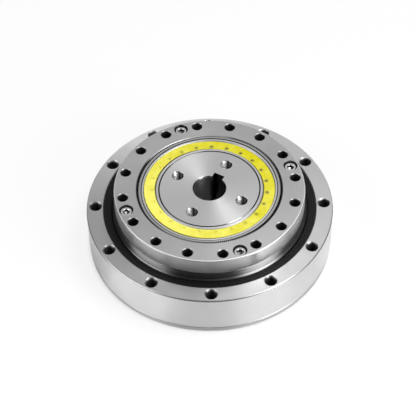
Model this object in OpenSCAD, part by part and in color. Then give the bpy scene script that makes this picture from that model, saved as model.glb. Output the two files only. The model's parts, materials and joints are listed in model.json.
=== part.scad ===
// Strain wave gear unit, hat type, with a crossed-roller output bearing.
// Z is the common axis of input and output. The flange's mounting face is at z = 0.
// The wave generator turns the input, the housing stands still, and the circular spline is the output.

/* [Housing] */
// Outside diameter of the housing ring
housing_d = 110; // [109:0.5:112]
// Height of the housing ring above the flexspline's flange
housing_h = 18.4; // [18:0.1:20]
// Thickness of the flexspline's flange
flange_t = 2.8; // [2.6:0.1:4]
// Bolt circle of the housing
flange_pcd = 102; // [101.5:0.1:102.5]
// Number of bolt holes in the housing
flange_holes = 12; // [4:4:12]
// Diameter of the housing's bolt holes
flange_hole_d = 4.5; // [3:0.1:4.6]
// Outside diameter of the oil seal
seal_d = 95; // [94.5:0.1:95.2]

/* [Crossed-roller bearing] */
// Circle on which the rollers' centres run
roller_pcd = 87; // [86.8:0.1:87.2]
// Diameter of the square raceway that a roller fills
roller_d = 5; // [4.5:0.1:5.1]
// Number of rollers, leaning alternately up and down
roller_count = 40; // [24:2:40]

/* [Output] */
// Outside diameter of the circular spline
spline_d = 84.7; // [84:0.1:85]
// Thickness of the circular spline's flange
spline_t = 8; // [7.5:0.1:9]
// How far the bearing's inner ring stands above the housing ring
output_rise = 3.2; // [2.5:0.1:4]
// Bolt circle of the output
output_pcd = 77; // [76.6:0.1:77.2]
// Number of bolt holes in the output
output_holes = 16; // [8:4:16]
// Diameter of the output's bolt holes
output_hole_d = 4.4; // [3.6:0.1:4.5]
// Direction of the first output bolt hole, in degrees
output_angle = 7.8; // [0:0.1:22]

/* [Gear teeth] */
// Teeth on the flexspline, two fewer than on the circular spline
flex_teeth = 240; // [200:4:240]
// Pitch diameter of the flexspline before it is pushed oval
flex_pitch_d = 62.9; // [62.6:0.1:63]
// Length of the flexspline's teeth
tooth_l = 11; // [10:0.5:12]

/* [Wave generator] */
// Direction of the oval's long axis and of the keyway, in degrees
wave_angle = 60; // [0:1:180]
// Bore for the motor shaft
shaft_d = 14; // [8:0.5:14]
// Width of the keyway
key_w = 5; // [3:0.5:6]
// Depth of the keyway beyond the bore
key_depth = 2.3; // [1:0.1:2.8]
// Length of the plug
plug_l = 17; // [14:0.5:20]
// Bolt circle of the plug's threaded holes
plug_pcd = 32; // [30:0.5:34]
// Tapping diameter of the plug's threaded holes
plug_hole_d = 4.2; // [2.5:0.1:4.2]

/* [Wave bearing] */
// Bore of the thin bearing before it is pushed oval
race_bore_d = 45.2; // [45:0.1:45.4]
// Width of the thin bearing
race_w = 9; // [8.5:0.1:9.5]
// Number of balls
ball_count = 23; // [17:1:23]
// Diameter of the balls
ball_d = 6; // [5.6:0.1:6]
// Direction of the first ball, in degrees
ball_angle = 16.8; // [0:0.1:20]

/* [Hidden] */
$fn = 144;

// Working gaps: between pieces that turn against each other, and between pieces that sit together
run_gap = 0.06;
seat_gap = 0.02;
cut = 1;

// Heights
ring_z0 = flange_t;
ring_z1 = ring_z0 + housing_h;
roller_z = ring_z0 + 7.8;
inner_z0 = ring_z0 + 2.2;
inner_z1 = ring_z1 + output_rise;
top_z = inner_z1 + spline_t;
rim_z1 = top_z - 0.2;
rim_z0 = rim_z1 - tooth_l;
race_z1 = top_z - 0.4;
race_z0 = race_z1 - race_w;
ball_z = race_z1 - race_w / 2;
plug_z0 = race_z1 - plug_l;

// Housing
housing_r = housing_d / 2;
flange_hole_sink = 0.65;
flange_screw_angle = 15;
flange_screw_l = 8.5;
flange_screw_head_h = 1.4;
flange_screw_fit = 0.05;
fill_angle = 165;
fill_d = 6.4;
fill_pin_d = 2.5;
fill_pin_l = 12.6;
cord_d = 1;
flange_cord_r = roller_pcd / 2 + 2.7;

// Crossed-roller bearing: a raceway is a square of side roller_d that stands on its corner
roller_r = roller_pcd / 2;
raceway = roller_d / sqrt(2);
ring_split = 0.1;
groove_in_r = roller_r - ring_split;
groove_out_r = roller_r + ring_split;
roller_l = roller_d - 0.2;
roller_chamfer = 0.35;
relief = 0.5;

// Oil seal
seal_r = seal_d / 2;
seal_z0 = ring_z1 - 4.2;
seal_z1 = ring_z1 - 0.35;
insert_t = 0.5;

// Output
spline_r = spline_d / 2;
neck_r = 42.6;
pilot_r = 34.3;
pilot_l = 4;
spline_cord_d = 0.9;
spline_cord_r = pilot_r + 0.65;
thread_d = 3.4;
thread_depth = 9.6;
screw_d = 3;
screw_head_d = 5.5;
screw_head_h = 3;
screw_sink = 4;
screw_count = 4;
screw_z = top_z - screw_sink;
screw_depth = 9;
screw_angle = output_angle + 180 / output_holes;

// Teeth: the wave pushes the rim out by one module, which is half of what two teeth more need
wave = micron(flex_pitch_d / flex_teeth);
flex_r = flex_pitch_d / 2;
spline_teeth = flex_teeth + 2;
gear_r = flex_r + wave;
tip = micron(0.65 * wave);
root = micron(0.78 * wave);
flank = 0.41;
flex_half = 0.725 * wave;
gap_half = 0.847 * wave;

// The oval is four arcs, two round its long axis and two round its short one. These are how far their
// centres lie off the middle, how much their radii differ from the mean, and where they end. The arcs
// meet on the lines through two centres, which have a slope of 3 to 4, so that there is no corner.
arc_shift = [4 * wave, -3 * wave];
arc_trim = [-3 * wave, 2 * wave];
arc_side = [[80, 60], [60, 80]];

// Flexspline wall
rim_t = 0.72;
rim_bore_r = flex_r - root - rim_t;
tube_r = flex_r - root - 0.1;
tube_t = 0.4;
stub_t = 0.6;
bend_r = 1.5;
disc_z = 2;
brim_r = 43;

// Wave bearing
race_r = rim_bore_r - 0.03;
race_bore_r = race_bore_d / 2;
ball_r = ball_d / 2;
ball_path_r = (race_r + race_bore_r) / 2;
shoulder = 0.75 * ball_r;
race_chamfer = 0.6;
groove_r = 1.06 * ball_r;
cage_half = shoulder - wave - run_gap;
cage_z0 = ball_z - 2.3;
cage_z1 = race_z1 - 0.15;
cage_flare = race_chamfer - (race_z1 - cage_z1) - seat_gap;
pocket_r = ball_r + 0.25;
dimple_r = 25.5;
dimple_d = 1.1;
dimple_depth = 0.35;

// Wave generator plug
plug_shoulder_t = 3;
plug_hub_r = 15;
plug_hole_depth = 10;
plug_hole_offset = 1;

module ring_of(count, radius, first = 0) {
    for (i = [0 : count - 1]) rotate(first + i * 360 / count) translate([radius, 0, 0]) children();
}

module arc_wedge(kind) {
    side = arc_side[kind];
    polygon([[0, 0], [side.x, -side.y], side]);
}

// A section swept round the oval, which keeps its shape all the way
module oval_sweep() {
    for (i = [0 : 3]) {
        kind = i % 2;
        rotate(wave_angle + 90 * i) translate([arc_shift[kind], 0, 0]) intersection() {
            rotate_extrude() translate([arc_trim[kind], 0]) children();
            translate([0, 0, -cut]) linear_extrude(2 * plug_l) arc_wedge(kind);
        }
    }
}

// The oval's outline, as four sectors and the diamond between their centres
module oval_outline(r) {
    for (i = [0 : 3]) {
        kind = i % 2;
        rotate(wave_angle + 90 * i) translate([arc_shift[kind], 0]) intersection() {
            circle(r + arc_trim[kind]);
            arc_wedge(kind);
        }
    }
    rotate(wave_angle)
        polygon([[4 * wave, 0], [0, 3 * wave], [-4 * wave, 0], [0, -3 * wave]]);
}

module chamfered_section(r, h, c) {
    polygon([[0, 0], [r - c, 0], [r, c], [r, h - c], [r - c, h], [0, h]]);
}

module chamfered_cylinder(r, h, c) {
    rotate_extrude() chamfered_section(r, h, c);
}

module hex_socket(across, depth) {
    cylinder(h = depth, r = across / sqrt(3), $fn = 6);
}

// Lengths that the oval depends on are whole micrometres, so that its arcs meet exactly
function micron(length) = round(1000 * length) / 1000;

// Distance from the axis to a circle of the given radius whose centre is shifted towards angle 0
function shifted_circle(radius, shift, angle) =
    shift * cos(angle) + sqrt(pow(radius, 2) - pow(shift * sin(angle), 2));

// How far the oval of a given mean radius lies from the axis, at an angle from its long axis
function oval_radius(radius, angle) =
    let (a = abs(angle - 180 * round(angle / 180)),
         long = shifted_circle(radius + arc_trim[0], arc_shift[0], a))
    3 * (long * cos(a) - arc_shift[0]) > 4 * long * sin(a)
        ? long : shifted_circle(radius + arc_trim[1], arc_shift[1], 90 - a);

// Where a point of the round rim goes: out with the oval, and along so that the wall keeps its length
function flexed(radius, angle) =
    let (r = oval_radius(radius, angle), a = angle - wave / (2 * flex_r) * sin(2 * angle) * 180 / PI)
    [r * cos(a), r * sin(a)];

function polar(radius, angle) = [radius * cos(angle), radius * sin(angle)];

// Angle that half a tooth or gap takes on the pitch circle
function half_angle(width, radius) = width / radius * 180 / PI;

flex_outline = [
    for (i = [0 : flex_teeth - 1])
        let (a = i * 360 / flex_teeth,
             foot = half_angle(flex_half + root * flank, flex_r),
             head = half_angle(flex_half - tip * flank, flex_r))
        each [flexed(flex_r - root, a - foot), flexed(flex_r + tip, a - head),
              flexed(flex_r + tip, a + head), flexed(flex_r - root, a + foot)]
];

spline_outline = [
    for (i = [0 : spline_teeth - 1])
        let (a = i * 360 / spline_teeth,
             mouth = half_angle(gap_half + tip * flank, gear_r),
             base = half_angle(gap_half - root * flank, gear_r))
        each [polar(gear_r - tip, a - mouth), polar(gear_r + root, a - base),
              polar(gear_r + root, a + base), polar(gear_r - tip, a + mouth)]
];

// The part of a raceway's square that lies in one ring, with a relief at its corner; side is 1 or -1
function raceway_points(ring_r, side) =
    let (open = raceway - abs(ring_r - roller_r), corner = roller_r + side * raceway)
    [[ring_r, roller_z + open],
     [corner - side * relief, roller_z + relief], [corner + side * 0.2, roller_z + relief],
     [corner + side * 0.2, roller_z - relief], [corner - side * relief, roller_z - relief],
     [ring_r, roller_z - open]];

module housing_section() {
    polygon(concat(
        [[groove_out_r, ring_z0], [housing_r - 0.3, ring_z0], [housing_r, ring_z0 + 0.3],
         [housing_r, ring_z1 - 0.5], [housing_r - 0.5, ring_z1], [seal_r + 0.3, ring_z1],
         [seal_r, ring_z1 - 0.3], [seal_r, seal_z0], [groove_out_r, seal_z0]],
        raceway_points(groove_out_r, 1)));
}

// Radial hole through which the rollers are loaded, or the plug that closes it
module fill_bore(d) {
    rotate(fill_angle) translate([roller_r - raceway, 0, roller_z]) rotate([0, 90, 0])
        cylinder(h = housing_r, d = d);
}

module fill_pin(d, z0, z1) {
    rotate(fill_angle) translate([flange_pcd / 2, 0, z0]) cylinder(h = z1 - z0, d = d);
}

module outer_ring() {
    color("lightgray")
    difference() {
        rotate_extrude() housing_section();
        ring_of(flange_holes, flange_pcd / 2) {
            translate([0, 0, ring_z0 - cut]) cylinder(h = housing_h + 2 * cut, d = flange_hole_d);
            translate([0, 0, ring_z1 - flange_hole_sink])
                cylinder(h = flange_hole_sink + 0.01, d1 = flange_hole_d,
                         d2 = flange_hole_d + 2 * flange_hole_sink);
        }
        ring_of(screw_count, flange_pcd / 2, flange_screw_angle)
            translate([0, 0, ring_z0 - cut]) cylinder(h = flange_screw_l, d = screw_d);
        translate([0, 0, ring_z0 - cut]) difference() {
            cylinder(h = cut + cord_d, r = flange_cord_r + 0.6 * cord_d);
            cylinder(h = cut + cord_d, r = flange_cord_r - 0.6 * cord_d);
        }
        fill_bore(fill_d);
        fill_pin(fill_pin_d, ring_z0 - cut, ring_z0 + fill_pin_l + 0.2);
    }
}

module filling_plug() {
    color("silver")
    difference() {
        intersection() {
            rotate_extrude() housing_section();
            fill_bore(fill_d - 2 * seat_gap);
        }
        fill_pin(fill_pin_d, ring_z0, ring_z0 + fill_pin_l + 0.2);
    }
}

module plug_pin() {
    color("dimgray") fill_pin(fill_pin_d - 2 * seat_gap, ring_z0 + 0.1, ring_z0 + fill_pin_l);
}

// The hat's brim, its thin disc and the bend into the tube, as one revolved section
module hat_section() {
    bend = [tube_r + 0.1 + bend_r, disc_z + bend_r];
    rim_r = housing_r - 0.2;
    polygon(concat(
        [for (a = [180 : 15 : 270]) bend + bend_r * [cos(a), sin(a)]],
        [[brim_r - 0.8, disc_z], [brim_r, flange_t], [rim_r - 0.3, flange_t],
         [rim_r, flange_t - 0.3], [rim_r, 0.5], [rim_r - 0.5, 0],
         [brim_r + 2, 0], [brim_r + 1.2, disc_z - stub_t]],
        [for (a = [270 : -15 : 180]) bend + (bend_r + stub_t) * [cos(a), sin(a)]]));
}

// Cone of the tube's wall, from round at the disc to oval at the teeth, with its ends in both of them
module tube_cone(r) {
    z0 = disc_z + bend_r - 0.3;
    translate([0, 0, z0]) rotate(wave_angle)
        linear_extrude(rim_z0 + 0.3 - z0, scale = [1 + wave / r, 1 - wave / r], slices = 1)
            circle(r, $fn = 96);
}

module flexspline() {
    color("gainsboro")
    difference() {
        union() {
            rotate_extrude() hat_section();
            difference() {
                tube_cone(tube_r);
                tube_cone(tube_r - tube_t);
            }
            translate([0, 0, rim_z0]) linear_extrude(tooth_l) difference() {
                rotate(wave_angle) polygon(flex_outline);
                oval_outline(rim_bore_r);
            }
        }
        ring_of(flange_holes, flange_pcd / 2)
            translate([0, 0, -cut]) cylinder(h = flange_t + 2 * cut, d = flange_hole_d);
        ring_of(screw_count, flange_pcd / 2, flange_screw_angle) {
            translate([0, 0, -cut])
                cylinder(h = flange_t + 2 * cut, r = screw_d / 2 + flange_screw_fit);
            translate([0, 0, -0.01])
                cylinder(h = screw_d / 2 - 0.04, r1 = screw_d + 0.01, r2 = screw_d / 2 + flange_screw_fit);
        }
    }
}

// Countersunk screws that hold the flexspline's flange to the housing ring
module flange_screws() {
    color("dimgray")
    ring_of(screw_count, flange_pcd / 2, flange_screw_angle) translate([0, 0, 0.05])
        difference() {
            union() {
                cylinder(h = flange_screw_head_h, r1 = screw_d - 0.1, r2 = screw_d / 2 - seat_gap);
                cylinder(h = flange_screw_l, r = screw_d / 2 - seat_gap);
            }
            translate([0, 0, -0.01]) hex_socket(2, 1.2);
        }
}

module flange_o_ring() {
    color("black")
    rotate_extrude() translate([flange_cord_r, ring_z0 + cord_d / 2]) circle(cord_d / 2 - seat_gap);
}

// Rubber body with ridges on its face and two lips that run on the inner ring
module oil_seal() {
    r1 = seal_r - seat_gap;
    leg_r = seal_r - 0.5;
    lip_r = groove_in_r + run_gap;
    z0 = seal_z0 + seat_gap;
    ridges = [for (i = [0 : 2])
        let (r = r1 - 0.7 - 1.05 * i, z = seal_z1 - 0.1 * i)
        each [[r, z], [r - 0.12, z - 0.35], [r - 0.42, z - 0.35], [r - 0.54, z - 0.08]]];
    color([0.1, 0.1, 0.1])
    rotate_extrude() polygon(concat(
        [[r1, z0], [r1, seal_z1 - 0.2], [r1 - 0.2, seal_z1]],
        ridges,
        [[lip_r + 0.25, seal_z1 - 0.4], [lip_r, seal_z1 - 0.55], [lip_r, seal_z1 - 0.8],
         [lip_r + 0.9, seal_z1 - 1.5], [lip_r, seal_z1 - 2.3], [lip_r, seal_z1 - 2.55],
         [lip_r + 1.2, seal_z1 - 2.9], [lip_r + 1.7, z0 + insert_t + seat_gap],
         [leg_r - insert_t - seat_gap, z0 + insert_t + seat_gap],
         [leg_r - insert_t - seat_gap, seal_z1 - 0.8], [leg_r + seat_gap, seal_z1 - 0.8],
         [leg_r + seat_gap, z0]]));
}

module seal_insert() {
    leg_r = seal_r - 0.5;
    z0 = seal_z0 + seat_gap;
    color("gray")
    rotate_extrude() polygon([[leg_r, z0], [leg_r, seal_z1 - 0.85], [leg_r - insert_t, seal_z1 - 0.85],
        [leg_r - insert_t, z0 + insert_t], [leg_r - insert_t - 1.3, z0 + insert_t],
        [leg_r - insert_t - 1.3, z0]]);
}

module circular_spline() {
    blank_r = gear_r - 2;
    groove_r1 = 2 * spline_cord_r - pilot_r;
    color("silver")
    difference() {
        rotate_extrude() polygon([
            [blank_r, inner_z1 - pilot_l], [pilot_r - 0.4, inner_z1 - pilot_l],
            [pilot_r, inner_z1 - pilot_l + 0.4], [pilot_r, inner_z1 + spline_cord_d],
            [groove_r1, inner_z1 + spline_cord_d], [groove_r1, inner_z1],
            [spline_r - 0.2, inner_z1], [spline_r, inner_z1 + 0.2], [spline_r, top_z - 0.5],
            [spline_r - 0.5, top_z], [blank_r, top_z]]);
        translate([0, 0, inner_z1 - pilot_l - cut]) rotate(wave_angle)
            linear_extrude(spline_t + pilot_l + 2 * cut) polygon(spline_outline);
        translate([0, 0, top_z - 0.6]) cylinder(h = 0.61, r1 = gear_r - tip, r2 = gear_r + root + 0.25);
        ring_of(output_holes, output_pcd / 2, output_angle) {
            translate([0, 0, inner_z1 - cut]) cylinder(h = spline_t + 2 * cut, d = output_hole_d);
            translate([0, 0, top_z - 0.3])
                cylinder(h = 0.31, d1 = output_hole_d, d2 = output_hole_d + 0.62);
        }
        ring_of(screw_count, output_pcd / 2, screw_angle) {
            translate([0, 0, inner_z1 - cut]) cylinder(h = spline_t, r = screw_d / 2 + 0.15);
            translate([0, 0, screw_z]) cylinder(h = screw_sink + cut, r = screw_head_d / 2 + 0.4);
        }
    }
}

module spline_o_ring() {
    color("black")
    rotate_extrude() translate([spline_cord_r, inner_z1 + spline_cord_d / 2])
        circle(spline_cord_d / 2 - seat_gap);
}

// Cap screws that hold the circular spline on the bearing's inner ring
module spline_screws() {
    color("white")
    ring_of(screw_count, output_pcd / 2, screw_angle) translate([0, 0, screw_z + seat_gap])
        difference() {
            union() {
                chamfered_cylinder(screw_head_d / 2, screw_head_h, 0.3);
                translate([0, 0, -screw_depth]) cylinder(h = screw_depth + 1, r = screw_d / 2 - seat_gap);
            }
            translate([0, 0, screw_head_h - 1.6]) hex_socket(2.5, 1.6 + cut);
        }
}

module inner_ring() {
    bore_r = pilot_r - 0.9;
    seat_r = pilot_r + 0.05;
    step_z = ring_z1 - 0.2;
    screw_z0 = screw_z - screw_depth - 2;
    color("whitesmoke")
    difference() {
        rotate_extrude() polygon(concat(
            [[bore_r, inner_z0], [groove_in_r - 0.3, inner_z0], [groove_in_r, inner_z0 + 0.3]],
            [for (i = [5 : -1 : 0]) raceway_points(groove_in_r, -1)[i]],
            [[groove_in_r, step_z - 0.25], [groove_in_r - 0.25, step_z], [neck_r - 0.4, step_z],
             [neck_r - 0.4, step_z + 0.35], [neck_r, step_z + 0.35], [neck_r, inner_z1],
             [seat_r + 0.3, inner_z1], [seat_r, inner_z1 - 0.3],
             [seat_r, inner_z1 - pilot_l - 0.1], [bore_r, inner_z1 - pilot_l - 0.1]]));
        ring_of(output_holes, output_pcd / 2, output_angle)
            translate([0, 0, inner_z1 - thread_depth]) cylinder(h = thread_depth + cut, d = thread_d);
        ring_of(screw_count, output_pcd / 2, screw_angle)
            translate([0, 0, screw_z0]) cylinder(h = inner_z1 + cut - screw_z0, d = screw_d);
    }
}

// Every second roller, with its axis leaning out by the given angle
module rollers(first, lean) {
    color("lightsteelblue")
    ring_of(roller_count / 2, roller_r, first) translate([0, 0, roller_z]) rotate([0, lean, 0])
        translate([0, 0, -roller_l / 2])
            chamfered_cylinder(roller_d / 2 - seat_gap, roller_l, roller_chamfer);
}

module rollers_up() { rollers(0, 45); }

module rollers_down() { rollers(360 / roller_count, -45); }

// Saddle-shaped separators that sit between neighbouring rollers
module roller_spacers() {
    pitch = 360 / roller_count;
    side = roller_d - 0.9;
    color("wheat")
    for (i = [0 : roller_count - 1]) rotate((i + 0.5) * pitch) difference() {
        translate([roller_r, 0, roller_z]) rotate([0, 45, 0]) cube([side, 3.2, side], center = true);
        for (s = [-1, 1]) rotate(s * pitch / 2) translate([roller_r, 0, roller_z])
            rotate([0, (i % 2 == 0 ? -45 : 45) * s, 0])
                cylinder(h = 3 * roller_d, d = roller_d + 0.1, center = true);
    }
}

module wave_plug() {
    seat_r = race_bore_r - 0.01;
    rest_r = ball_path_r - shoulder - 0.4;
    core_r = plug_pcd / 2 + 3;
    inside_r = plug_hub_r - 2;
    color("silver")
    difference() {
        union() {
            translate([0, 0, race_z0]) oval_sweep() polygon([
                [inside_r, 0], [seat_r, 0], [seat_r, race_w - 0.35], [seat_r - 0.35, race_w],
                [inside_r, race_w]]);
            translate([0, 0, race_z0 - plug_shoulder_t]) {
                oval_sweep() polygon([
                    [inside_r, 0], [rest_r - 0.3, 0], [rest_r, 0.3], [rest_r, plug_shoulder_t],
                    [inside_r, plug_shoulder_t]]);
                cylinder(h = plug_shoulder_t + race_w, r = core_r);
            }
            translate([0, 0, plug_z0]) chamfered_cylinder(plug_hub_r, plug_l - 4, 0.6);
        }
        translate([0, 0, plug_z0 - cut]) cylinder(h = plug_l + 2 * cut, d = shaft_d);
        translate([0, 0, plug_z0 - 0.01]) cylinder(h = 0.51, r1 = shaft_d / 2 + 0.51, r2 = shaft_d / 2);
        translate([0, 0, race_z1 - 0.5]) cylinder(h = 0.51, r1 = shaft_d / 2, r2 = shaft_d / 2 + 0.51);
        rotate(wave_angle) translate([0, -key_w / 2, plug_z0 - cut])
            cube([shaft_d / 2 + key_depth, key_w, plug_l + 2 * cut]);
        ring_of(4, plug_pcd / 2, wave_angle + plug_hole_offset) {
            translate([0, 0, race_z1 - plug_hole_depth])
                cylinder(h = plug_hole_depth + cut, d = plug_hole_d);
            translate([0, 0, race_z1 - 0.55])
                cylinder(h = 0.56, d1 = plug_hole_d, d2 = plug_hole_d + 1.12);
        }
    }
}

// Section of a raceway groove, wider than the ball and set to touch it at its bottom only
module groove_section(side) {
    translate([ball_path_r - side * (groove_r - ball_r - seat_gap), race_w / 2]) circle(groove_r);
}

module inner_race() {
    r = ball_path_r - shoulder;
    color("lightgray")
    translate([0, 0, race_z0]) oval_sweep() difference() {
        chamfered_section(r, race_w, race_chamfer);
        translate([-cut, -cut]) square([race_bore_r + cut, race_w + 2 * cut]);
        groove_section(-1);
    }
}

module outer_race() {
    r = ball_path_r + shoulder;
    color("lightgray")
    translate([0, 0, race_z0]) oval_sweep() difference() {
        chamfered_section(race_r, race_w, 0.25);
        polygon([[-cut, -cut], [r + race_chamfer + cut, -cut], [r, race_chamfer],
                 [r, race_w - race_chamfer], [r + race_chamfer + cut, race_w + cut],
                 [-cut, race_w + cut]]);
        groove_section(1);
    }
}

// One-piece snap cage: a ring above the balls, with pockets open downwards and a flared upper edge
module ball_cage() {
    outer_r = ball_path_r + cage_half;
    inner_r = ball_path_r - cage_half;
    pitch = 360 / ball_count;
    color("yellow")
    difference() {
        rotate_extrude() polygon([
            [inner_r, cage_z0], [outer_r, cage_z0],
            [outer_r, cage_z1 - cage_flare], [outer_r + cage_flare, cage_z1],
            [inner_r - cage_flare, cage_z1], [inner_r, cage_z1 - cage_flare]]);
        ring_of(ball_count, ball_path_r, ball_angle) translate([0, 0, ball_z]) sphere(pocket_r);
        ring_of(ball_count, dimple_r, ball_angle - pitch / 2)
            translate([0, 0, cage_z1 - dimple_depth]) cylinder(h = dimple_depth + cut, d = dimple_d);
    }
}

module balls() {
    color("lightsteelblue")
    for (i = [0 : ball_count - 1])
        let (a = ball_angle + i * 360 / ball_count)
        rotate(a) translate([oval_radius(ball_path_r, a - wave_angle), 0, ball_z]) sphere(ball_r);
}

outer_ring();
flexspline();
oil_seal();
seal_insert();
flange_o_ring();
filling_plug();
plug_pin();
flange_screws();
circular_spline();
inner_ring();
spline_screws();
spline_o_ring();
rollers_up();
rollers_down();
roller_spacers();
wave_plug();
inner_race();
outer_race();
ball_cage();
balls();
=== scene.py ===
import json
import math

import bmesh
import bpy
from mathutils import Matrix, Vector


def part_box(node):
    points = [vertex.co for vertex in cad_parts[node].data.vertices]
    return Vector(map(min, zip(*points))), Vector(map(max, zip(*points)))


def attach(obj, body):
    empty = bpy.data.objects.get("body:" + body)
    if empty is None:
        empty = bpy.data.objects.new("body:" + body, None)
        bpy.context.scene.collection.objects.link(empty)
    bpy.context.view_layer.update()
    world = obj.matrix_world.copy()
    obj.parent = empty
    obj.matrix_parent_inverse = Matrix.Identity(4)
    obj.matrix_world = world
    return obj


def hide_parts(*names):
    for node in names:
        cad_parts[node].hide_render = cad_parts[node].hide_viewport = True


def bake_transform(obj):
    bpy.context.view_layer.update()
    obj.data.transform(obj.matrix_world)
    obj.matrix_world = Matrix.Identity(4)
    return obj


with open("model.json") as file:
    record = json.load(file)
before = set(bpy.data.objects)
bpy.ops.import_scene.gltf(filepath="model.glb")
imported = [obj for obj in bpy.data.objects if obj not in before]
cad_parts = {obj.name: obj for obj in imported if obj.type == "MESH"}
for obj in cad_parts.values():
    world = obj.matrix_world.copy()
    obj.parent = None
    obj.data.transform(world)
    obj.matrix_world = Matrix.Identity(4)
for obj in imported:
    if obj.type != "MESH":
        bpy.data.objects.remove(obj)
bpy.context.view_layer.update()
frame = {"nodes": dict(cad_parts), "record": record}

MM = 0.001
NODES = frame["nodes"]

# The unit's own places, in metres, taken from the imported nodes
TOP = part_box("circular_spline")[1].z
RING_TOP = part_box("outer_ring")[1].z
RING_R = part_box("outer_ring")[1].x
RACE_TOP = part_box("inner_race")[1].z
CAGE_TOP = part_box("ball_cage")[1].z
PLUG_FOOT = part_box("wave_plug")[0].z

# The heights of its faces in millimetres, from which the materials' masks are measured
SPLINE_FACE = TOP / MM
RING_FACE = RING_TOP / MM
RACE_FACE = RACE_TOP / MM

# Circles on which holes and dimples lie, in millimetres, and where they start, in degrees
HOUSING_PCD = 102
OUTPUT_PCD = 77
OUTPUT_ANGLE = 7.8
SCREW_ANGLE = 19.05
PLUG_PCD = 32
PLUG_ANGLE = 61
DIMPLES = 23
DIMPLE_R = 25.5
DIMPLE_ANGLE = 8.97

# The wave generator's oval: how far its long axis stands out, in millimetres, and where, in degrees
WAVE = 0.262
WAVE_ANGLE = 60
SPLINE_TEETH = 242


# ---------------------------------------------------------------- camera

CAMERA_ELEVATION = math.radians(48.26)
CAMERA_ROLL = math.radians(-0.9)
CAMERA_DISTANCE = 0.624
CAMERA_LENS = 120.5
LOOK_AT = Vector((-0.77 * MM, -0.33 * MM, RING_TOP - 2.05 * MM))


def link(obj):
    bpy.context.scene.collection.objects.link(obj)
    return obj


def make_camera():
    data = bpy.data.cameras.new("camera")
    data.lens = CAMERA_LENS
    data.sensor_width = 36
    data.clip_start = 0.01
    data.clip_end = 20
    camera = link(bpy.data.objects.new("camera", data))
    forward = Vector((0, math.cos(CAMERA_ELEVATION), -math.sin(CAMERA_ELEVATION)))
    turn = forward.to_track_quat("-Z", "Y").to_matrix() @ Matrix.Rotation(CAMERA_ROLL, 3, "Z")
    camera.matrix_world = Matrix.Translation(LOOK_AT - forward * CAMERA_DISTANCE) @ turn.to_4x4()
    bpy.context.scene.camera = camera


make_camera()
bpy.context.scene.view_settings.view_transform = "Standard"


# ---------------------------------------------------------------- meshes and objects

SHARP_EDGE = math.radians(24)
LEVEL_FACE = 0.9999


def paint(obj, material):
    obj.data.materials.clear()
    obj.data.materials.append(material)


def smooth(obj):
    """Smooth shading with sharp edges, and level faces shaded flat so that no chamfer bends them."""
    obj.data.shade_smooth()
    obj.data.set_sharp_from_angle(angle=SHARP_EDGE)
    for face in obj.data.polygons:
        face.use_smooth = abs(face.normal.z) < LEVEL_FACE


def object_of(mesh, name):
    """An object in the scene, made from a mesh that is then freed."""
    data = bpy.data.meshes.new(name)
    mesh.to_mesh(data)
    mesh.free()
    return link(bpy.data.objects.new(name, data))


def finished(mesh, name, material):
    """A smooth, painted object, made from a mesh that is then freed."""
    obj = object_of(mesh, name)
    smooth(obj)
    paint(obj, material)
    return obj


def welded(cad_node):
    """A free mesh with the shape of a CAD node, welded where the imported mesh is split."""
    mesh = bmesh.new()
    mesh.from_mesh(NODES[cad_node].data)
    bmesh.ops.remove_doubles(mesh, verts=mesh.verts, dist=1e-6)
    return mesh


# ---------------------------------------------------------------- shader nodes

def new_material(name, **sockets):
    """A material with one Principled shader whose sockets have the given values."""
    material = bpy.data.materials.new(name)
    material.use_nodes = True
    shader = material.node_tree.nodes["Principled BSDF"]
    for socket, value in sockets.items():
        shader.inputs[socket.replace("_", " ")].default_value = value
    return material, material.node_tree, shader


def node(tree, kind, inputs=None, **settings):
    """A new node; inputs maps socket names or numbers to a value or to the output that feeds it."""
    made = tree.nodes.new(kind)
    for name, value in settings.items():
        setattr(made, name, value)
    for name, value in (inputs or {}).items():
        if isinstance(value, bpy.types.NodeSocket):
            tree.links.new(value, made.inputs[name])
        else:
            made.inputs[name].default_value = value
    return made


def math_node(tree, operation, a, b=0.0, c=0.0):
    return node(tree, "ShaderNodeMath", {0: a, 1: b, 2: c}, operation=operation).outputs[0]


def ramp(tree, value, start, end, low=0.0, high=1.0, kind="SMOOTHSTEP"):
    """Goes from low to high as a value goes from start to end, and is level beyond them."""
    return node(tree, "ShaderNodeMapRange", {"Value": value, "From Min": start, "From Max": end,
                "To Min": low, "To Max": high}, interpolation_type=kind).outputs[0]


def split(tree, vector):
    return node(tree, "ShaderNodeSeparateXYZ", {0: vector}).outputs[:]


def length(tree, x, y):
    flat = node(tree, "ShaderNodeCombineXYZ", {0: x, 1: y}).outputs[0]
    return node(tree, "ShaderNodeVectorMath", {0: flat}, operation="LENGTH").outputs["Value"]


def offset(tree, point, way):
    """How far a point lies in a direction."""
    return node(tree, "ShaderNodeVectorMath", {0: point, 1: way}, operation="DOT_PRODUCT").outputs["Value"]


def place(tree):
    """The point on the surface in millimetres of the row frame, its distance from the axis and its
    height."""
    coords = node(tree, "ShaderNodeTexCoord").outputs["Object"]
    point = node(tree, "ShaderNodeVectorMath", {0: coords, "Scale": 1 / MM}, operation="SCALE").outputs[0]
    x, y, z = split(tree, point)
    return point, length(tree, x, y), z


def angle_from(tree, point, first):
    """The angle of a point round the axis, in radians, from an azimuth in degrees."""
    x, y = split(tree, point)[:2]
    return math_node(tree, "SUBTRACT", math_node(tree, "ARCTAN2", y, x), math.radians(first))


def face_normal(tree):
    return split(tree, node(tree, "ShaderNodeNewGeometry").outputs["True Normal"])


def noise(tree, scale, detail, roughness, point=None, along=None):
    """Noise over a point in space, or along one length."""
    made = node(tree, "ShaderNodeTexNoise", {"Scale": scale, "Detail": detail, "Roughness": roughness})
    if along is None:
        tree.links.new(point, made.inputs["Vector"])
    else:
        made.noise_dimensions = "1D"
        tree.links.new(along, made.inputs["W"])
    return made.outputs[0]


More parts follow.
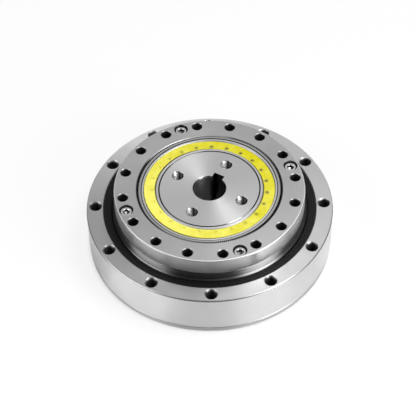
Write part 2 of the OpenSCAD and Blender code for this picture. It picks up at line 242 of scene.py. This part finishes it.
def spread(tree, value, low, high, width=0.25):
    """Maps noise, which lies round a half, to the range from low to high."""
    return ramp(tree, value, 0.5 - width, 0.5 + width, low, high, "LINEAR")


def shared(tree, first, second, share):
    """Two noises mixed, with the given share of the first."""
    return math_node(tree, "MULTIPLY_ADD", first, share, math_node(tree, "MULTIPLY", second, 1 - share))


def layered(tree, share, under, over):
    """One colour over another by a share; each is three numbers or the output that feeds it."""
    ends = {"A": under, "B": over}
    for name, colour in ends.items():
        if not isinstance(colour, bpy.types.NodeSocket):
            ends[name] = (*colour, 1)
    return node(tree, "ShaderNodeMix", {"Factor": share, **ends}, data_type="RGBA").outputs["Result"]


def dress(tree, shader, colour, dull, height, strength, depth):
    """Gives a shader its colour, its roughness and a bump of the given depth, in millimetres."""
    bump = node(tree, "ShaderNodeBump", {"Strength": strength, "Distance": depth * MM, "Height": height})
    tree.links.new(colour, shader.inputs["Base Color"])
    tree.links.new(dull, shader.inputs["Roughness"])
    tree.links.new(bump.outputs[0], shader.inputs["Normal"])


# ---------------------------------------------------------------- masks

# Azimuths are in degrees and cosines are of the angle from them, as facing takes them
FRONT = 266
# Where a lamp lights the bevel of the tooth gap, so its painted shade is left off
BEVEL_LIT = (110, 0.74, 0.87)
# Where the lamps light the seam round the plug, and how much of its painted shade is left off there
SEAM_LIT = ((120, 0.9, 0.97), (307, 0.93, 0.98))
SEAM_LIT_SHARE = 0.7

# How far below the circular spline's face the inner ring's neck begins, and where the neck and the
# mouth of the tooth gap lie, in millimetres from the axis
NECK_DEPTH = 7.9
NECK = (42, 43.5)
MOUTH = (28, 32.5)


def between(tree, value, low, high):
    """One where a value lies between two limits, else zero."""
    return math_node(tree, "MULTIPLY", math_node(tree, "GREATER_THAN", value, low),
                     math_node(tree, "LESS_THAN", value, high))


def without(tree, mask, gap):
    """A mask without the places that another mask covers."""
    return math_node(tree, "MULTIPLY_ADD", mask, math_node(tree, "MULTIPLY", gap, -1), mask)


def facing(tree, azimuth, low, high):
    """Rises from zero to one as the cosine of the angle from an azimuth, in degrees, goes from low to
    high."""
    point, radius = place(tree)[:2]
    way = (math.cos(math.radians(azimuth)), math.sin(math.radians(azimuth)), 0)
    return ramp(tree, math_node(tree, "DIVIDE", offset(tree, point, way), radius), low, high)


# The painted shade uses this to paint a hole's two walls unequally dark
def towards(tree, left, right):
    """Left on faces that look towards +X, as a hole's left wall does, and right on those towards -X."""
    return ramp(tree, face_normal(tree)[0], 0.05, -0.12, left, right)


def holes_mask(tree, below, count, pcd, first, reach, soft=0.05):
    """One within reach of the holes on a bolt circle and below a height, else zero, all in mm. Soft is
    how wide the mask's edge is."""
    point, radius, z = place(tree)
    pitch = 2 * math.pi / count
    turn = angle_from(tree, point, first)
    nearest = math_node(tree, "ROUND", math_node(tree, "DIVIDE", turn, pitch))
    aside = math_node(tree, "MULTIPLY_ADD", nearest, -pitch, turn)
    along = math_node(tree, "MULTIPLY_ADD", radius, math_node(tree, "COSINE", aside), -pcd / 2)
    across = math_node(tree, "MULTIPLY", radius, math_node(tree, "SINE", aside))
    near = ramp(tree, length(tree, along, across), reach, reach - soft)
    return math_node(tree, "MULTIPLY", near, math_node(tree, "LESS_THAN", z, below))


def ring_mask(tree, below, inner, outer, wave=0.0, above=-1.0):
    """One between two distances from the axis and between two heights, else zero, all in mm. With a
    wave the ring is an oval about those distances."""
    point, radius, z = place(tree)
    if wave:
        twice = math_node(tree, "MULTIPLY", angle_from(tree, point, WAVE_ANGLE), 2.0)
        radius = math_node(tree, "MULTIPLY_ADD", math_node(tree, "COSINE", twice), -wave, radius)
    return math_node(tree, "MULTIPLY", between(tree, radius, inner, outer), between(tree, z, above, below))


def neck_mask(tree):
    """One on the inner ring's neck, painted dark as painted shade, but for the two places beside its front
    where the lamps light it.
    """
    lit_places = without(tree, facing(tree, FRONT, 0.6, 0.74), facing(tree, FRONT, 0.9, 0.97))
    return without(tree, ring_mask(tree, SPLINE_FACE - NECK_DEPTH, *NECK), lit_places)


def mouth_mask(tree):
    """One on the mouth of the tooth gap, painted dark as painted shade. At its front the teeth's edges are
    left unshaded between the gaps, and so is all of its bevel at the back and the upper left, where a lamp
    lights it."""
    turn = math_node(tree, "MULTIPLY", angle_from(tree, place(tree)[0], 0), SPLINE_TEETH)
    teeth = math_node(tree, "GREATER_THAN", math_node(tree, "SINE", turn), 0.0)
    unshaded = math_node(tree, "MULTIPLY", teeth, facing(tree, FRONT, 0.72, 0.9))
    unshaded = math_node(tree, "MAXIMUM", unshaded, facing(tree, *BEVEL_LIT))
    return without(tree, ring_mask(tree, SPLINE_FACE + 1, *MOUTH), unshaded)


def seam_mask(tree, inner, outer):
    """One on the seam between the plug and the inner race, painted dark as painted shade, less in two places
    the lamps light.
    """
    seam = ring_mask(tree, RACE_FACE + 1, inner, outer, WAVE)
    lit_spots = math_node(tree, "ADD", *[facing(tree, *limits) for limits in SEAM_LIT])
    return math_node(tree, "MULTIPLY", seam, math_node(tree, "MULTIPLY_ADD", lit_spots, -SEAM_LIT_SHARE, 1.0))


# ---------------------------------------------------------------- materials

# The dark painted into holes, gaps and the lower halves of bevels as painted shade
SHADE_COLOUR = (0.03, 0.03, 0.03)

# An edge painted paler as a painted highlight: its colour, and how much duller it is
EDGE_HIGHLIGHT = (0.9, 0.9, 0.9)
EDGE_HIGHLIGHT_DULL = 0.32

# The side of the unit whose top is painted brighter, a painted reflection of the lamps, and how far the
# change reaches, in millimetres
LIT_SIDE = (0.5, 0.87, 0)
LIT_REACH = 40

# The side away from the cage's painted sheen, on which the dark round its dots is deepened as painted shade
SHADED_SIDE = (0.77, 0.64, 0)
SHEEN_FALLOFF = 0.016
NYLON_DEEP = (0.65, 0.59, 0.0)
NYLON_PALE_AND_SHEEN = (0.88, 0.83, 0.15)
DOT_DARK = (0.13, 0.14, 0.07)
DOT_REACH = 1.4


def painted_side_light(tree, colour, point, side_light):
    """A colour painted brighter and darker by a share on the two sides of the top, a painted reflection of
    the lamps.
    """
    level = ramp(tree, offset(tree, point, LIT_SIDE), -LIT_REACH, LIT_REACH, -side_light, side_light)
    up = math_node(tree, "GREATER_THAN", face_normal(tree)[2], 0.5)
    level = math_node(tree, "MULTIPLY_ADD", level, up, 1.0)
    return node(tree, "ShaderNodeVectorMath", {0: colour, "Scale": level}, operation="SCALE").outputs[0]


def steel(name, tone, rough, turned=0.0, marks=0.35, grain=0.02, tint=(1, 1, 1), side_light=0.0, painted_shade=(),
          edge_highlight=None):
    """Machined steel. Marks is the share of the tool's rings about the axis in its unevenness, turned is
    how strongly they stretch the highlights, and grain is their height in millimetres. Side light is how
    much brighter and darker the top is painted on its two sides, a painted reflection of the lamps.
    Painted shade lists the holes, gaps and bevels that are painted dark as shade: how dark on their
    left and right sides, the mask that finds them, and its limits. Edge highlight is the mask of an
    edge that is painted paler as a painted highlight and made duller, and its limits."""
    material, tree, shader = new_material(name, Metallic=1.0, Anisotropic=turned,
                                          Anisotropic_Rotation=0.25)
    point, radius, z = place(tree)
    rings = noise(tree, 2.6, 4.0, 0.75, along=math_node(tree, "ADD", radius, z))
    fine = noise(tree, 9.0, 3.0, 0.7, point=point)
    clouds = noise(tree, 0.09, 2.0, 0.5, point=point)
    dark = [0.93 * tone * c for c in tint]
    light = [1.05 * tone * c for c in tint]
    colour = layered(tree, spread(tree, shared(tree, rings, clouds, marks), 0, 1), dark, light)
    # Painted reflection: the top brighter on one side and darker on the other
    if side_light:
        colour = painted_side_light(tree, colour, point, side_light)
    # Each entry paints shade, deeper on one wall of a hole than on the other
    for left, right, mask, *limits in painted_shade:
        share = math_node(tree, "MULTIPLY", mask(tree, *limits), towards(tree, left, right))
        colour = layered(tree, share, colour, SHADE_COLOUR)
    dull = spread(tree, shared(tree, fine, clouds, 0.5), 0.88 * rough, 1.12 * rough)
    # The edge painted paler as a painted highlight, and duller
    if edge_highlight:
        mask, *limits = edge_highlight
        edge = mask(tree, *limits)
        colour = layered(tree, edge, colour, EDGE_HIGHLIGHT)
        dull = math_node(tree, "MULTIPLY_ADD", edge, EDGE_HIGHLIGHT_DULL, dull)
    dress(tree, shader, colour, dull, shared(tree, rings, fine, marks), 0.35, grain)
    if turned:
        round_axis = node(tree, "ShaderNodeTangent", direction_type="RADIAL", axis="Z")
        tree.links.new(round_axis.outputs[0], shader.inputs["Tangent"])
    return material


def moulded(name, dark, light, rough, grain, **sockets):
    """A moulded material, mottled between two colours, with a fine uneven skin."""
    material, tree, shader = new_material(name, **sockets)
    point = place(tree)[0]
    mottle = noise(tree, 1.2, 4.0, 0.6, point=point)
    skin = noise(tree, 6.0, 3.0, 0.6, point=point)
    colour = layered(tree, spread(tree, mottle, 0, 1), dark, light)
    dress(tree, shader, colour, spread(tree, skin, 0.85 * rough, 1.15 * rough), skin, 0.5, grain)
    return material


def cage_nylon():
    """Translucent yellow nylon, cloudy and a little wavy. It is painted paler towards one side, a painted
    sheen, and darker round the small dimples on its top, more on the other side, where the extra dark is
    painted shade."""
    material, tree, shader = new_material("cage_nylon", Subsurface_Weight=0.2, Specular_IOR_Level=0.35,
                                          Subsurface_Radius=(0.002, 0.0016, 0.0005))
    point = place(tree)[0]
    clouds = noise(tree, 0.07, 2.0, 0.5, point=point)
    patches = noise(tree, 0.3, 3.0, 0.6, point=point)
    waves = noise(tree, 0.22, 1.0, 0.4, point=point)
    skin = noise(tree, 4.0, 3.0, 0.6, point=point)
    toward_shade = offset(tree, point, SHADED_SIDE)
    cloudy = spread(tree, shared(tree, patches, clouds, 0.55), 0.06, 1.06, width=0.2)
    # Painted sheen: the colour paler towards the side away from the shade
    cloudy_and_sheen = math_node(tree, "MULTIPLY_ADD", toward_shade, -SHEEN_FALLOFF, cloudy)
    colour = layered(tree, cloudy_and_sheen, NYLON_DEEP, NYLON_PALE_AND_SHEEN)
    dots = holes_mask(tree, CAGE_TOP / MM + 1, DIMPLES, 2 * DIMPLE_R, DIMPLE_ANGLE, DOT_REACH, 1.0)
    # The dark round the dots is deeper on the shaded side, as painted shade
    dots_with_shade = math_node(tree, "MULTIPLY", dots, ramp(tree, toward_shade, -8, 18, 0.1, 0.72, "LINEAR"))
    colour = layered(tree, dots_with_shade, colour, DOT_DARK)
    dress(tree, shader, colour, spread(tree, patches, 0.36, 0.5), shared(tree, waves, skin, 0.93), 0.6, 0.45)
    return material


# The limits of the masks are the part's own heights and distances from its axis, in millimetres
# The painted shade darkens holes, sockets, gaps between parts, the neck and the lower halves of bevels
MATERIALS = {
    "ring_steel": steel("ring_steel", 0.74, 0.42, turned=0.5, side_light=0.2, painted_shade=[
        (0.68, 0.85, holes_mask, RING_FACE - 0.2, 12, HOUSING_PCD, 0, 2.7),
        (0.78, 0.5, ring_mask, RING_FACE - 0.22, 54.4, 54.96)]),
    "flex_steel": steel("flex_steel", 0.58, 0.34, turned=0.3, painted_shade=[
        (0.8, 0.8, holes_mask, 3, 12, HOUSING_PCD, 0, 2.3),
        (0.95, 0.95, ring_mask, SPLINE_FACE - 0.22, 30.95, 32),
        (0.95, 0.95, ring_mask, SPLINE_FACE - 0.21, 30, 30.95),
        # This entry darkens the foot of the flexspline's wall towards the bottom
        (0.12, 0.12, ring_mask, 3, RING_R / MM - 0.5, RING_R / MM)]),
    "seal_rubber": moulded("seal_rubber", (0.004, 0.004, 0.0045), (0.008, 0.008, 0.009), 0.36, 0.03,
                           Specular_IOR_Level=0.33),
    "seal_core": steel("seal_core", 0.40, 0.4),
    "cord_rubber": moulded("cord_rubber", (0.015, 0.015, 0.015), (0.03, 0.03, 0.03), 0.5, 0.01),
    "dark_screw": steel("dark_screw", 0.10, 0.42, marks=0.1, tint=(1, 1, 1.06)),
    "bright_screw": steel("bright_screw", 0.78, 0.22, marks=0.2, painted_shade=[
        (0.8, 0.8, holes_mask, SPLINE_FACE - 1.2, 4, OUTPUT_PCD, SCREW_ANGLE, 1.5)]),
    "spline_iron": steel("spline_iron", 0.61, 0.42, turned=0.2, grain=0.03, painted_shade=[
        (0.65, 0.85, holes_mask, SPLINE_FACE - 0.12, 16, OUTPUT_PCD, OUTPUT_ANGLE, 2.5),
        (0.8, 0.8, holes_mask, SPLINE_FACE - 0.2, 4, OUTPUT_PCD, SCREW_ANGLE, 3.2),
        (0.92, 0.92, ring_mask, SPLINE_FACE - 0.25, 28, 32.35),
        (0.92, 0.92, mouth_mask),
        (0.5, 0.5, ring_mask, SPLINE_FACE - 0.25, 41.9, 42.32)],
        # The edge of its face painted paler as a painted highlight
        edge_highlight=(ring_mask, SPLINE_FACE + 1, 41.86, 42.12)),
    "inner_steel": steel("inner_steel", 0.42, 0.50, turned=0.95, painted_shade=[
        (0.78, 0.9, holes_mask, SPLINE_FACE - 7, 16, OUTPUT_PCD, OUTPUT_ANGLE, 2.25),
        (0.78, 0.78, neck_mask)]),
    "roller_steel": steel("roller_steel", 0.66, 0.15, marks=0.1),
    "spacer_nylon": moulded("spacer_nylon", (0.66, 0.61, 0.48), (0.76, 0.72, 0.6), 0.5, 0.02),
    "plug_steel": steel("plug_steel", 0.83, 0.30, turned=0.75, marks=0.7, painted_shade=[
        (0.1, 0.95, ring_mask, RACE_FACE - 0.25, 0, 7.04),
        (0.93, 0.97, ring_mask, RACE_FACE - 0.1, 7.04, 9.8, 0, PLUG_FOOT / MM + 0.05),
        (0.95, 0.95, seam_mask, 22.12, 24),
        (0.15, 0.97, holes_mask, RACE_FACE - 0.05, 4, PLUG_PCD, PLUG_ANGLE, 2.9)]),
    "race_steel": steel("race_steel", 0.74, 0.48, turned=0.3, painted_shade=[
        (0.4, 0.4, ring_mask, RACE_FACE - 0.02, 23.6, 24.5, WAVE),
        (0.3, 0.3, ring_mask, RACE_FACE - 0.02, 28.6, 29.5, WAVE),
        (0.95, 0.95, seam_mask, 22.3, 22.76),
        (0.95, 0.95, ring_mask, RACE_FACE + 1, 30.06, 31, WAVE)]),
    "cage_nylon": cage_nylon(),
    "ball_steel": steel("ball_steel", 0.68, 0.12, marks=0.1),
}

for part in frame["record"]["subparts"]:
    paint(NODES[part["node"]], MATERIALS[part["material_slot"]])


# ---------------------------------------------------------------- flexspline

# The real tube bends between the hat's disc, which stands with the housing, and the rim, whose oval goes
# round with the wave generator. A quarter turn is a whole number of teeth, so they stay in mesh.
TUBE_BOTTOM = 3.5 * MM
TUBE_ROWS = 24

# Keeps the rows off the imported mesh's own edges
ROW_SHIFT = 0.01 * MM


def make_flexspline():
    """The flexspline, cut into level rows."""
    mesh = welded("flexspline")
    for row in range(TUBE_ROWS + 1):
        height = TUBE_BOTTOM + (RING_TOP - TUBE_BOTTOM) * row / TUBE_ROWS - ROW_SHIFT
        bmesh.ops.bisect_plane(mesh, geom=mesh.verts[:] + mesh.edges[:] + mesh.faces[:], dist=1e-7,
                               plane_co=(0, 0, height), plane_no=(0, 0, 1))
    rim = finished(mesh, "flexspline_hat", MATERIALS["flex_steel"])
    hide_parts("flexspline")
    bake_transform(rim)


make_flexspline()


# ---------------------------------------------------------------- lofts and threads

# Threads, with half of each diameter, in millimetres
PLUG_THREAD = {"major": 2.5, "minor": 2.1, "pitch": 0.8}
SCREW_THREAD = {"major": 1.48, "minor": 1.2, "pitch": 0.5}
ROWS_PER_PITCH = 8


def loft(mesh, rings, close_first=True, close_last=True):
    """Faces between rings of points, which run the same way round, closed at the ends as asked."""
    loops = [[mesh.verts.new(Vector(point) * MM) for point in ring] for ring in rings]
    for near, far in zip(loops, loops[1:]):
        for i in range(len(near)):
            mesh.faces.new((near[i - 1], near[i], far[i], far[i - 1]))
    if close_first:
        mesh.faces.new(loops[0])
    if close_last:
        mesh.faces.new(loops[-1])


def ring(radius, z, count):
    """A level ring of points about the Z axis; radius is a length or a function of the angle."""
    turns = [2 * math.pi * i / count for i in range(count)]
    sizes = [radius(turn) if callable(radius) else radius for turn in turns]
    return [(size * math.cos(turn), size * math.sin(turn), z) for size, turn in zip(sizes, turns)]


def thread_radius(z, turn, major, minor, pitch):
    """Radius of a thread with straight flanks and flat roots and crests."""
    phase = (z / pitch - turn / (2 * math.pi)) % 1
    flank = min(max(1.25 - 3 * abs(phase - 0.5), 0), 1)
    return minor + (major - minor) * flank


def thread_rings(low, high, count, thread, least=lambda z: 0):
    """Rings up a thread; least gives, for a height, the smallest radius that the rings may have."""
    rows = math.ceil((high - low) / thread["pitch"] * ROWS_PER_PITCH)
    heights = [low + (high - low) * row / rows for row in range(rows + 1)]
    return [ring(lambda turn: max(thread_radius(z, turn, **thread), least(z)), z, count) for z in heights]


def spread_round(mesh, count, pcd, first):
    """Moves a mesh made on the axis onto a bolt circle and repeats it there."""
    pattern = mesh.verts[:] + mesh.edges[:] + mesh.faces[:]
    for i in range(1, count + 1):
        turn = Matrix.Rotation(math.radians(first + i * 360 / count), 4, "Z")
        move = turn @ Matrix.Translation((pcd / 2 * MM, 0, 0))
        made = bmesh.ops.duplicate(mesh, geom=pattern)["geom"] if i < count else pattern
        verts = [item for item in made if isinstance(item, bmesh.types.BMVert)]
        bmesh.ops.transform(mesh, matrix=move, verts=verts)


def look_outwards(mesh):
    bmesh.ops.recalc_face_normals(mesh, faces=mesh.faces)


# ---------------------------------------------------------------- the plug's tapped holes

# In millimetres: how deep the holes are, how deep their countersinks are, and how far the lining lies
# outside the thread; then how many points its rings have
TAPPED_DEPTH = 9.6
SINK_DEPTH = 0.55
LINING = 0.03
THREAD_POINTS = 48


def drilled_plug(bottom, top):
    """The plug's mesh, with its tapped holes cut open to the thread's full width."""
    drill = bmesh.new()
    loft(drill, [ring(PLUG_THREAD["major"], z, THREAD_POINTS) for z in (bottom, top + 1)])
    spread_round(drill, 4, PLUG_PCD, PLUG_ANGLE)
    look_outwards(drill)
    cutter = finished(drill, "drill", MATERIALS["plug_steel"])
    plug = object_of(welded("wave_plug"), "threaded_plug")
    cut = plug.modifiers.new("holes", "BOOLEAN")
    cut.operation = "DIFFERENCE"
    cut.solver = "EXACT"
    cut.object = cutter
    evaluated = plug.evaluated_get(bpy.context.evaluated_depsgraph_get())
    drilled = bpy.data.meshes.new_from_object(evaluated)
    bpy.data.objects.remove(cutter)
    bpy.data.objects.remove(plug)
    return drilled


def thread_linings(bottom, sink):
    """Closed linings for the drilled holes, with the thread and the countersink on their inside."""
    major, minor = PLUG_THREAD["major"], PLUG_THREAD["minor"]
    inside = thread_rings(bottom + 0.01, sink + major - minor, THREAD_POINTS, PLUG_THREAD,
                          lambda z: minor + z - sink)
    outside = [ring(major + LINING, z, THREAD_POINTS) for z in (inside[-1][0][2], inside[0][0][2])]
    mesh = bmesh.new()
    loft(mesh, inside + outside + [inside[0]], False, False)
    bmesh.ops.remove_doubles(mesh, verts=mesh.verts, dist=1e-7)
    spread_round(mesh, 4, PLUG_PCD, PLUG_ANGLE)
    look_outwards(mesh)
    return mesh


def make_plug_threads():
    """The plug with threads in its four tapped holes."""
    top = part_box("wave_plug")[1].z / MM
    bottom = top - TAPPED_DEPTH
    drilled = drilled_plug(bottom, top)
    mesh = thread_linings(bottom, top - SINK_DEPTH)
    mesh.from_mesh(drilled)
    piece = finished(mesh, "threaded_plug", MATERIALS["plug_steel"])
    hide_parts("wave_plug")
    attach(piece, "wave_generator")


make_plug_threads()


# ---------------------------------------------------------------- cap screws

# In millimetres: the head's height, half of its width over the knurl and in its grooves, and the width
# of its hexagon socket; then how many points the rings of the head and of the shank have
HEAD_HEIGHT = 3
KNURL_R = 2.75
GROOVE_R = 2.64
SOCKET_WIDTH = 2.5
HEAD_POINTS = 96
SHANK_POINTS = 24


def knurl(turn):
    """The head's radius, with a groove at every third point."""
    return GROOVE_R if round(turn / (2 * math.pi) * HEAD_POINTS) % 3 == 0 else KNURL_R


def hexagon(turn):
    return SOCKET_WIDTH / 2 / math.cos(turn % (math.pi / 3) - math.pi / 6)


def make_cap_screws():
    """Four cap screws with knurled heads, hexagon sockets and rolled threads."""
    low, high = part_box("spline_screws")
    top = high.z / MM
    foot = low.z / MM
    seat = top - HEAD_HEIGHT
    head = [(1.45, seat + 0.02), (2.6, seat), (2.72, seat + 0.12), (knurl, seat + 0.2),
            (knurl, top - 0.45), (2.62, top - 0.32), (2.52, top - 0.12), (2.35, top), (1.62, top),
            (1.47, top - 0.12), (hexagon, top - 0.25), (hexagon, top - 1.5), (0.05, top - 2.1)]
    shank = [ring(1.1, foot, SHANK_POINTS)]
    shank += thread_rings(foot + 0.3, seat - 0.6, SHANK_POINTS, SCREW_THREAD)
    shank += [ring(1.3, seat - 0.5, SHANK_POINTS), ring(1.3, seat + 0.3, SHANK_POINTS)]
    mesh = bmesh.new()
    loft(mesh, [ring(radius, z, HEAD_POINTS) for radius, z in head])
    loft(mesh, shank)
    spread_round(mesh, 4, OUTPUT_PCD, SCREW_ANGLE)
    look_outwards(mesh)
    piece = finished(mesh, "cap_screws", MATERIALS["bright_screw"])
    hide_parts("spline_screws")
    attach(piece, "output")


make_cap_screws()


# ---------------------------------------------------------------- floor, world and lamps

FLOOR_R = 1.6
FLOOR_DROP = 0.05 * MM
FLOOR_WHITE = 0.8
MIRRORED_WHITE = 0.5

# Grey cards round the unit, which show in its wall only: the azimuth, the cosine at which each ends, and
# how dark it is
DARK_CARDS = ((266, 0.91, 0.6), (194, 0.945, 0.62), (327, 0.95, 0.25))

# The grey that metal mirrors overhead and low down, its share in front, and how it changes to the sides
SKY_TONE = 0.6
WALL_TONE = 0.02
FRONT_SHADE = 0.3
SIDE_TONE = 0.5
SKY_LIGHT = 0.35

# Lamps: the name, the place and the width, in metres, and the power, in watts
LAMPS = (
    ("overhead", (0.32, 0.0, 0.83), 0.36, 3.6),
    ("front_right", (0.58, -0.45, 0.37), 0.36, 3.4),
    ("front_left", (-0.70, -0.27, 0.42), 0.6, 3.0),
)


def rays(tree):
    """One for rays from the camera, and one for rays that metal mirrors or that come through glass."""
    kinds = node(tree, "ShaderNodeLightPath").outputs
    mirrored = math_node(tree, "MAXIMUM", kinds["Is Glossy Ray"], kinds["Is Transmission Ray"])
    return kinds["Is Camera Ray"], mirrored


def make_floor():
    """A plain pale disc, white to the camera away from the unit and greyer where its wall mirrors it."""
    mesh = bmesh.new()
    bmesh.ops.create_circle(mesh, cap_ends=True, segments=64, radius=FLOOR_R)
    floor = object_of(mesh, "floor")
    floor.location.z = -FLOOR_DROP
    material, tree, shader = new_material("floor", Base_Color=(0.9, 0.9, 0.9, 1), Roughness=0.9,
                                          Specular_IOR_Level=0.0)
    camera, mirrored = rays(tree)
    seen = math_node(tree, "MULTIPLY", camera, FLOOR_WHITE)
    seen = math_node(tree, "MULTIPLY_ADD", mirrored, MIRRORED_WHITE, seen)
    open_floor = ramp(tree, place(tree)[1], RING_R / MM - 3, RING_R / MM + 2)
    share = math_node(tree, "MULTIPLY", seen, open_floor)
    shade = 1.0
    for azimuth, edge, depth in DARK_CARDS:
        card = math_node(tree, "MULTIPLY", facing(tree, azimuth, edge, 1.0), mirrored)
        shade = math_node(tree, "MULTIPLY_ADD", card, -depth, shade)
    white = node(tree, "ShaderNodeEmission", {"Color": (1, 1, 1, 1), "Strength": shade})
    mixed = node(tree, "ShaderNodeMixShader", {0: share, 1: shader.outputs[0], 2: white.outputs[0]})
    tree.links.new(mixed.outputs[0], tree.nodes["Material Output"].inputs["Surface"])
    paint(floor, material)


def make_world():
    """White to the camera, a graded grey where metal mirrors it, and a faint even light elsewhere."""
    world = bpy.data.worlds.new("studio")
    world.use_nodes = True
    bpy.context.scene.world = world
    tree = world.node_tree
    tree.nodes.clear()
    x, y, z = split(tree, node(tree, "ShaderNodeTexCoord").outputs["Generated"])
    front = ramp(tree, y, -0.15, -0.7, 1.0, FRONT_SHADE)
    high = ramp(tree, z, 0.35, 0.7, WALL_TONE, SKY_TONE)
    side = ramp(tree, x, -0.4, 0.4, 1 - SIDE_TONE, 1 + SIDE_TONE, "LINEAR")
    grey = math_node(tree, "MULTIPLY", side, math_node(tree, "MULTIPLY", front, high))
    tone = node(tree, "ShaderNodeCombineColor", {0: grey, 1: grey, 2: grey})
    camera, mirrored = rays(tree)
    light = node(tree, "ShaderNodeBackground", {"Color": (1, 1, 1, 1), "Strength": SKY_LIGHT})
    sky = node(tree, "ShaderNodeBackground", {"Color": tone.outputs[0], "Strength": 1.0})
    white = node(tree, "ShaderNodeBackground", {"Color": (1, 1, 1, 1), "Strength": 1.0})
    lit = node(tree, "ShaderNodeMixShader", {0: mirrored, 1: light.outputs[0], 2: sky.outputs[0]})
    seen = node(tree, "ShaderNodeMixShader", {0: camera, 1: lit.outputs[0], 2: white.outputs[0]})
    tree.links.new(seen.outputs[0], node(tree, "ShaderNodeOutputWorld").inputs["Surface"])


def make_lamp(name, location, size, power):
    """A soft square lamp that looks at the unit."""
    data = bpy.data.lights.new(name, "AREA")
    data.shape = "SQUARE"
    data.size = size
    data.energy = power
    lamp = link(bpy.data.objects.new(name, data))
    lamp.location = location
    lamp.rotation_euler = (LOOK_AT - lamp.location).to_track_quat("-Z", "Y").to_euler()


make_floor()
make_world()
for lamp_settings in LAMPS:
    make_lamp(*lamp_settings)
